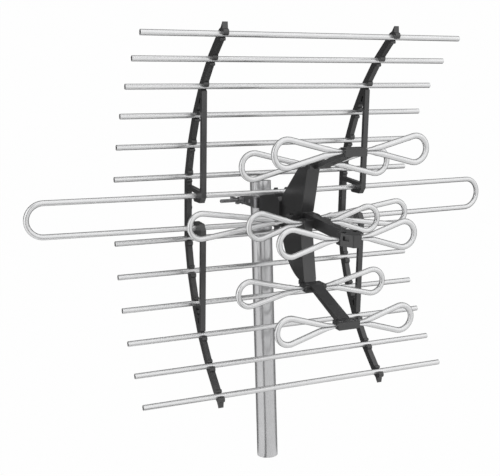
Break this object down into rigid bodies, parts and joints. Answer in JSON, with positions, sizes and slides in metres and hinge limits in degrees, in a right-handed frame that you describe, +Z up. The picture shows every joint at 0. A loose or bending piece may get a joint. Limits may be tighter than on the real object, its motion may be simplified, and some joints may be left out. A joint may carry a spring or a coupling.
{
  "type": "uhf antenna",
  "caption": "Outdoor television aerial: loop directors on a central housing, curved rod reflector, long VHF loop, and a tilting clamp on a round mast",
  "frame": {"origin": "centre of the mast's lower end", "axes": "+Z up the mast, -Y the way the antenna points, +X to the left of someone facing its front"},
  "size_m": [0.774, 0.3317, 0.6746],
  "materials": {
    "mast_metal": "satin",
    "zinc": "satin zinc plate",
    "black_plastic": "fine grained",
    "board": "satin",
    "aluminium": "satin"
  },
  "bodies": {
    "root": {"mast": "mast_metal", "clamp_jaw_left": "zinc", "clamp_jaw_right": "zinc", "clamp_grips": "zinc", "clamp_rivets": "zinc", "clamp_bolt": "zinc", "clamp_washers": "zinc", "clamp_wing_nut": "zinc", "pivot_bolt": "zinc", "cover_screws": "zinc", "loop_screws": "zinc", "arm_screws": "zinc", "output_socket": "zinc", "socket_nut": "zinc", "centre_housing": "black_plastic", "housing_cover": "black_plastic", "front_boom": "black_plastic", "upper_fin": "black_plastic", "lower_fin": "black_plastic", "upper_director_arm": "black_plastic", "lower_director_arm": "black_plastic", "holder_caps": "black_plastic", "arm_left_upper": "black_plastic", "arm_left_lower": "black_plastic", "arm_right_upper": "black_plastic", "arm_right_lower": "black_plastic", "balun_board": "board", "rear_loop_left": "aluminium", "rear_loop_right": "aluminium", "boom_loop_left": "aluminium", "boom_loop_right": "aluminium", "nose_loop_left": "aluminium", "nose_loop_right": "aluminium", "upper_middle_loop_left": "aluminium", "upper_middle_loop_right": "aluminium", "upper_front_loop_left": "aluminium", "upper_front_loop_right": "aluminium", "lower_middle_loop_left": "aluminium", "lower_middle_loop_right": "aluminium", "lower_front_loop_left": "aluminium", "lower_front_loop_right": "aluminium", "vhf_loop": "aluminium", "reflector_rod_1": "aluminium", "reflector_rod_2": "aluminium", "reflector_rod_3": "aluminium", "reflector_rod_4": "aluminium", "reflector_rod_5": "aluminium", "reflector_rod_6": "aluminium", "reflector_rod_7": "aluminium", "reflector_rod_8": "aluminium", "reflector_rod_9": "aluminium", "reflector_rod_10": "aluminium", "reflector_rod_11": "aluminium", "reflector_rod_12": "aluminium"}
  },
  "joints": []
}
